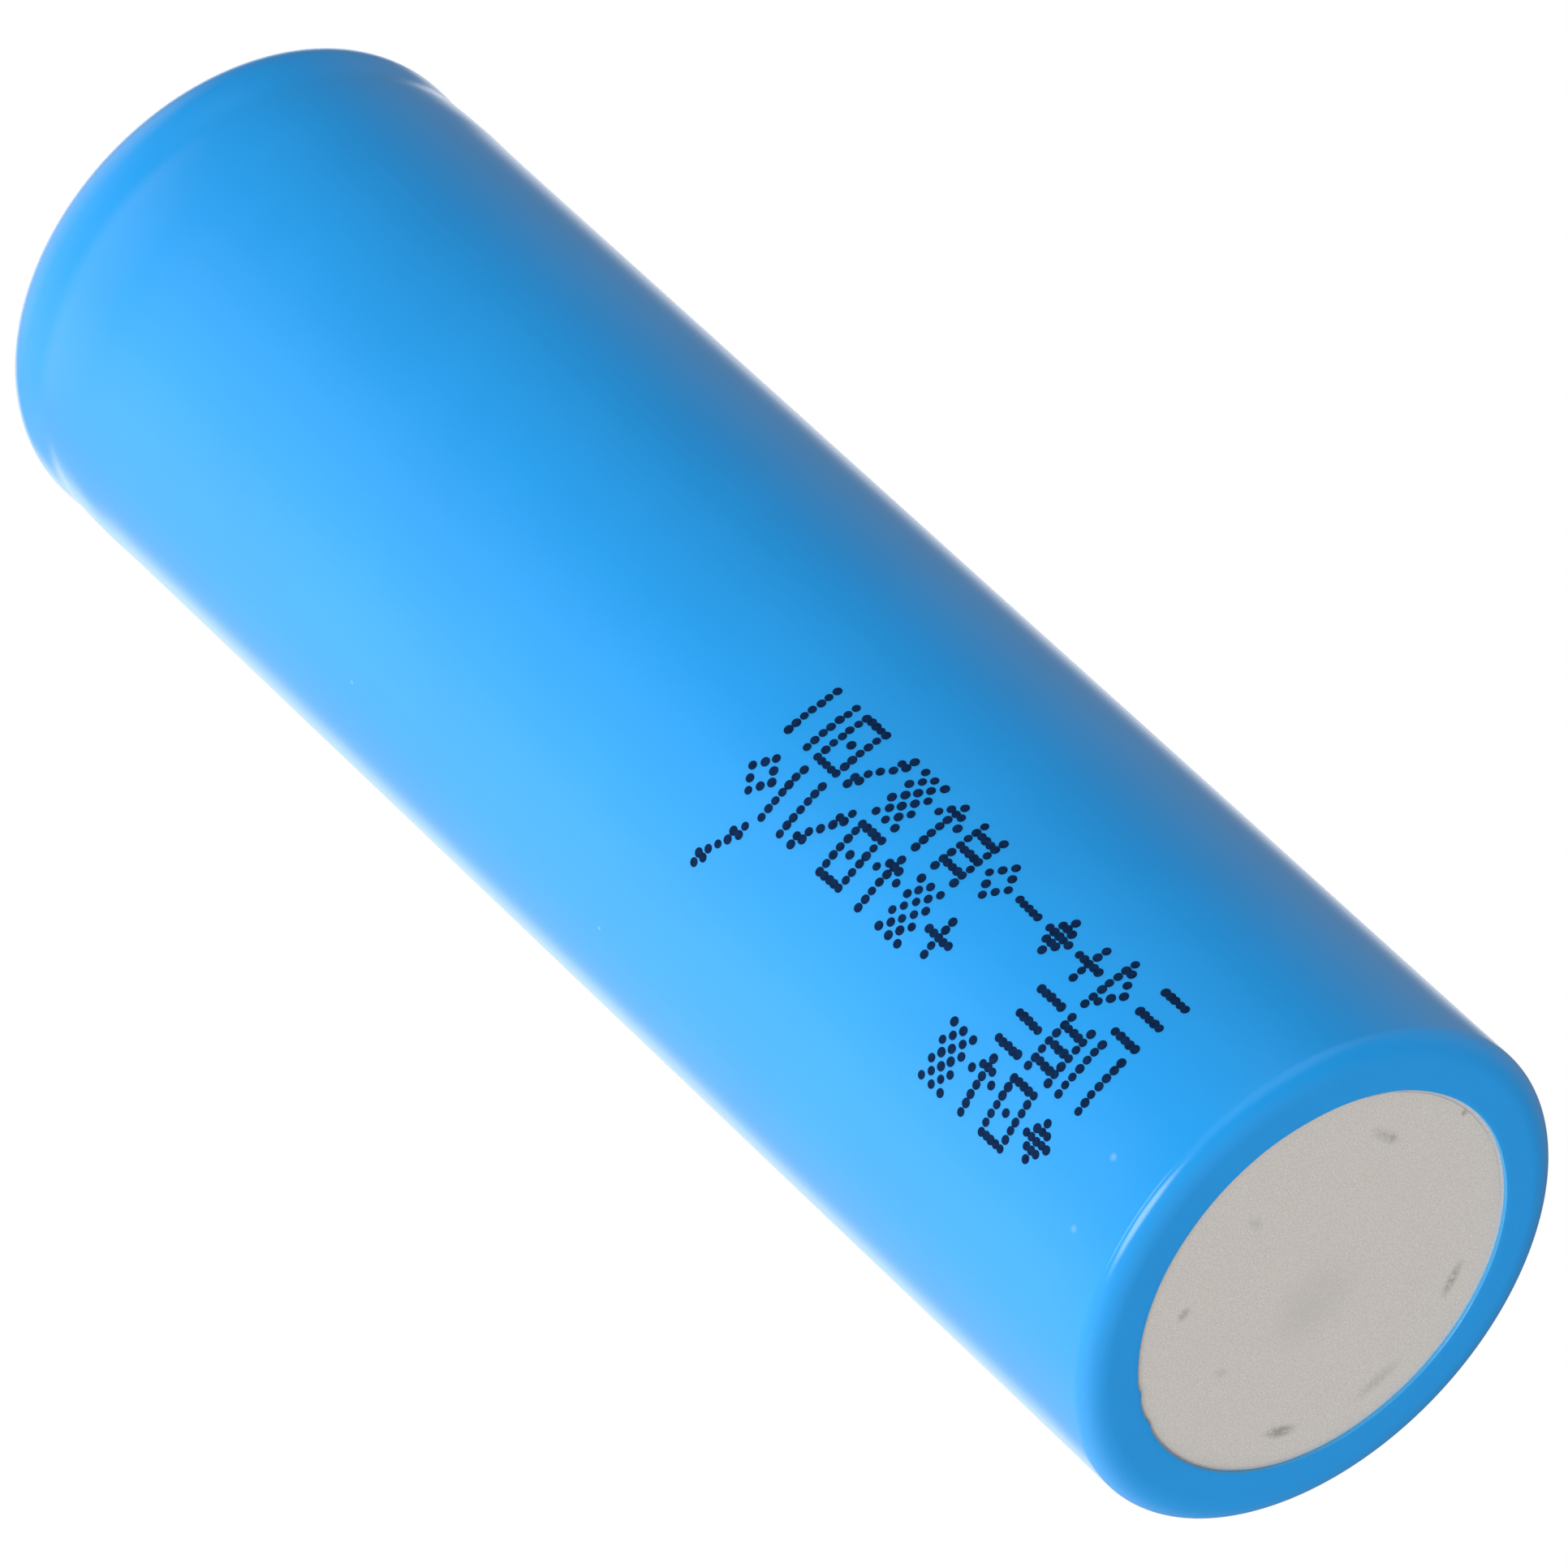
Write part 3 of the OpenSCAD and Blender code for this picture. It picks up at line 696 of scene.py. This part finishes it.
def window_section():
    """Outline of one vent window as (across, height) points: a rectangle with rounded corners."""
    low, high = FLANGE_Z + CAP_T + WINDOW_LIFT, FLANGE_Z + CAP_T + WINDOW_TOP
    corners = ((1, high, 0), (-1, high, 90), (-1, low, 180), (1, low, 270))
    section = []
    for side, z, start in corners:
        inward = WINDOW_CORNER if z == low else -WINDOW_CORNER
        section += arc(side * (WINDOW_HALF - WINDOW_CORNER), z + inward, WINDOW_CORNER, start, start + 90, 5)
    return section


def window_cutter():
    """Rounded boxes where the vent windows go through the terminal's wall."""
    bm = bmesh.new()
    section = window_section()
    for i in range(WINDOWS):
        turn = Matrix.Rotation(2 * math.pi / WINDOWS * i, 3, "Z")
        near = [bm.verts.new(turn @ Vector((CAP_FOOT_R - WINDOW_IN, y, z))) for y, z in section]
        far = [bm.verts.new(turn @ Vector((CAP_FOOT_R + WINDOW_OUT, y, z))) for y, z in section]
        bm.faces.new(near)
        bm.faces.new(far)
        for a in range(len(section)):
            b = (a + 1) % len(section)
            bm.faces.new((near[a], near[b], far[b], far[a]))
    return mesh_object("window_cutter", bm)


def apply_modifiers(piece):
    """Makes the piece's modifiers part of its mesh."""
    graph = bpy.context.evaluated_depsgraph_get()
    mesh = bpy.data.meshes.new_from_object(piece.evaluated_get(graph))
    piece.modifiers.clear()
    piece.data = mesh


def make_cap():
    """The pressed positive terminal, with its vent windows cut through."""
    cap = lathe("positive_terminal", cap_outline(), 160, smooth_angle=CAP_SHARP)
    cutter = window_cutter()
    cut = cap.modifiers.new("windows", "BOOLEAN")
    cut.operation = "DIFFERENCE"
    cut.object = cutter
    cut.solver = "EXACT"
    apply_modifiers(cap)
    bpy.data.objects.remove(cutter)
    cap.data.shade_smooth()
    cap.data.set_sharp_from_angle(angle=math.radians(CAP_SHARP))
    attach(cap, BODY)
    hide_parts("terminal_cap")
    return cap


# ---------------------------------------------------------------- light, floor and camera

# Radius of the floor in metres
FLOOR_R = 2.5
# The shot: elevation and roll in degrees, and the camera's distance, the height it aims at and the lens in mm
SHOT_ELEVATION = -38.404
SHOT_ROLL = 47.169
SHOT_DISTANCE = 605.83
AIM_HEIGHT = 33.383
LENS = 376.9
SENSOR_W = 36


def from_camera_side(angle, elevation):
    """Unit vector at an angle, in degrees, round from the side that the camera is on."""
    a = math.radians(FRONT + angle)
    e = math.radians(elevation)
    return Vector((math.cos(a) * math.cos(e), math.sin(a) * math.cos(e), math.sin(e)))


def make_camera():
    """The camera looks up at the bare base, and is turned about its own axis as the shot is."""
    back = from_camera_side(0, SHOT_ELEVATION)
    level = (-back).cross(Vector((0, 0, 1))).normalized()
    steep = level.cross(-back)
    roll = math.radians(SHOT_ROLL)
    up = math.cos(roll) * steep + math.sin(roll) * level
    right = (-back).cross(up)
    place = Vector((0, 0, AIM_HEIGHT * MM)) + back * SHOT_DISTANCE * MM
    data = bpy.data.cameras.new("camera")
    data.lens = LENS
    data.sensor_width = SENSOR_W
    camera = bpy.data.objects.new("camera", data)
    camera.matrix_world = Matrix((
        (right.x, up.x, back.x, place.x), (right.y, up.y, back.y, place.y),
        (right.z, up.z, back.z, place.z), (0, 0, 0, 1)))
    bpy.context.scene.collection.objects.link(camera)
    bpy.context.scene.camera = camera


# The studio's soft lights, as they shine on the cell: angle round from the camera's side (towards +X),
# elevation, half width of the bright part, width of the soft edge, all in degrees, and level. They were
# fitted to the photo's colours first, and then rounded and adjusted
ROOM_LEVEL = 0.19
SOFT_LIGHTS = {
    "main softbox, under the camera": (-29, -34, 14, 6, 6.8),
    "right front panel": (38, -8, 6, 48, 0.63),
    "left wall": (-101, 1, 3, 67, 1.03),
    "white backdrop": (-175, 47, 16, 11, 1.24),
    "ceiling panel": (-42, 68, 7, 39, 1.27),
    "low left panel": (-118, -61, 0, 53, 0.34),
    "right wall": (120, 0, 10, 43, 0.36),
}
# The one lamp: a long softbox beside the camera, placed as above, with its distance and size in metres
KEY_ANGLE = -28
KEY_ELEVATION = 10
KEY_DISTANCE = 0.6
KEY_SIZE = (0.41, 0.08)
KEY_RADIANCE = 7


def make_room_light():
    """A white studio with soft lights round the cell. The camera itself sees plain white."""
    world = bpy.data.worlds.new("studio")
    bpy.context.scene.world = world
    world.use_nodes = True
    tree = world.node_tree
    tree.nodes.clear()

    def add(kind, inputs=(), **settings):
        return add_node(tree, kind, inputs, **settings)

    ray = add("ShaderNodeTexCoord").outputs["Generated"]
    level = ROOM_LEVEL
    for angle, elevation, bright, soft, strength in SOFT_LIGHTS.values():
        toward = from_camera_side(angle, elevation)
        near = add("ShaderNodeVectorMath", [(0, ray), (1, toward)], operation="DOT_PRODUCT").outputs["Value"]
        edge, full = math.cos(math.radians(bright + soft)), math.cos(math.radians(bright))
        glow = add("ShaderNodeMapRange", [
            ("Value", near), ("From Min", edge), ("From Max", full), ("To Max", strength)],
            interpolation_type="SMOOTHSTEP").outputs["Result"]
        level = add("ShaderNodeMath", [(0, level), (1, glow)], operation="ADD").outputs[0]
    lit = add("ShaderNodeBackground", [("Color", (1, 1, 1, 1)), ("Strength", level)])
    plain = add("ShaderNodeBackground", [("Color", (1, 1, 1, 1)), ("Strength", 1)])
    seen = add("ShaderNodeLightPath").outputs["Is Camera Ray"]
    both = add("ShaderNodeMixShader", [(0, seen), (1, lit.outputs[0]), (2, plain.outputs[0])])
    add("ShaderNodeOutputWorld", [("Surface", both.outputs[0])])


def make_key_light():
    """A long narrow softbox on the camera's side, a little higher than the cell and aimed at its foot."""
    data = bpy.data.lights.new("softbox", "AREA")
    data.shape = "RECTANGLE"
    data.size, data.size_y = KEY_SIZE
    data.energy = KEY_RADIANCE * math.pi * KEY_SIZE[0] * KEY_SIZE[1]
    light = bpy.data.objects.new("softbox", data)
    toward = from_camera_side(KEY_ANGLE, KEY_ELEVATION)
    light.location = toward * KEY_DISTANCE
    light.rotation_mode = "QUATERNION"
    light.rotation_quaternion = toward.to_track_quat("Z", "Y")
    bpy.context.scene.collection.objects.link(light)


def floor_look():
    """Pale matte paper. It fades out with distance, and doesn't show from below."""
    look = Look("floor", (0.86, 0.86, 0.85), 0.8)
    grain = look.noise(4 * MM, 4)
    color = look.mix(look.ramp(grain, 0.3, 0.7), shade(look.color, 0.99), shade(look.color, 1.01))
    look.set("Base Color", color)
    look.bump(grain, 0.05 * MM)
    far = look.ramp(look.from_axis(), FLOOR_R * 0.3, FLOOR_R * 0.95)
    below = look.add("ShaderNodeNewGeometry").outputs["Backfacing"]
    clear = look.math("MAXIMUM", far, below)
    paper, nothing = look.shader.outputs[0], look.add("ShaderNodeBsdfTransparent").outputs[0]
    faded = look.add("ShaderNodeMixShader", [(0, clear), (1, paper), (2, nothing)])
    out = next(n for n in look.tree.nodes if n.type == "OUTPUT_MATERIAL")
    look.tree.links.new(faded.outputs[0], out.inputs["Surface"])
    return look


def make_floor():
    """A round pale floor under the cell. Only the camera sees it, so it throws no light on the cell."""
    look = floor_look()
    bm = bmesh.new()
    bmesh.ops.create_circle(bm, cap_ends=True, segments=96, radius=FLOOR_R / MM)
    floor = mesh_object("floor", bm)
    if floor.data.polygons[0].normal.z < 0:
        floor.data.flip_normals()
    look.dress(floor)
    floor.visible_diffuse = False
    floor.visible_glossy = False
    floor.visible_transmission = False
    floor.visible_shadow = False


# ---------------------------------------------------------------- the whole object

def dress_cad_nodes():
    """Gives every CAD node that stays in view its own finish."""
    white_plastic = moulded_look("insulator_plastic", (0.66, 0.76, 0.68), 0.5)
    tape = tape_look("amber_tape", (0.62, 0.27, 0.03))
    nickel = rolled_look("tab_nickel", (0.55, 0.52, 0.48), 0.34, (1, 1, 0.05))
    separators = separator_look()
    looks = {
        "can": base_metal_look(),
        "gasket": moulded_look("gasket_plastic", (0.80, 0.77, 0.68), 0.45),
        "vent_disc": rolled_look("vent_aluminium", (0.78, 0.79, 0.80), 0.30, (1, 0.06, 1)),
        "vent_diaphragm": rolled_look("vent_aluminium_centre", (0.80, 0.81, 0.82), 0.26, (1, 0.06, 1)),
        "interrupt_ring": moulded_look("ring_plastic", (0.045, 0.17, 0.42), 0.42),
        "interrupt_plate": rolled_look("plate_aluminium", (0.74, 0.75, 0.76), 0.34, (1, 0.06, 1)),
        "weld_disc": rolled_look("disc_aluminium", (0.70, 0.71, 0.72), 0.36, (0.06, 1, 1)),
        "upper_insulator": white_plastic,
        "lower_insulator": white_plastic,
        "positive_tab": rolled_look("tab_aluminium", (0.78, 0.79, 0.80), 0.32, (1, 0.05, 0.05)),
        "positive_tab_tape": tape,
        "negative_tab_tape": tape,
        "separator_inner": separators,
        "separator_outer": separators,
        "anode": coating_look("anode_coating", (0.035, 0.035, 0.038), (0.10, 0.10, 0.11)),
        "cathode": coating_look("cathode_coating", (0.018, 0.018, 0.020), (0.07, 0.07, 0.08)),
        "closing_tape": tape_look("green_tape", (0.07, 0.42, 0.12)),
        "centre_pin": rolled_look("pin_steel", (0.50, 0.50, 0.49), 0.36, (1, 1, 0.05)),
        "negative_tab_inner": nickel,
        "negative_tab_outer": nickel,
    }
    for node, look in looks.items():
        look.dress(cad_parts[node])


def make_object():
    """Every piece of the object that isn't a CAD node, and the finish of all of them."""
    film_look().dress(make_sleeve())
    ink_look().dress(make_print())
    fibre_look().dress(make_washer())
    terminal_look().dress(make_cap())
    dress_cad_nodes()


make_object()
make_room_light()
make_key_light()
make_floor()
make_camera()
bpy.context.scene.view_settings.view_transform = "Standard"
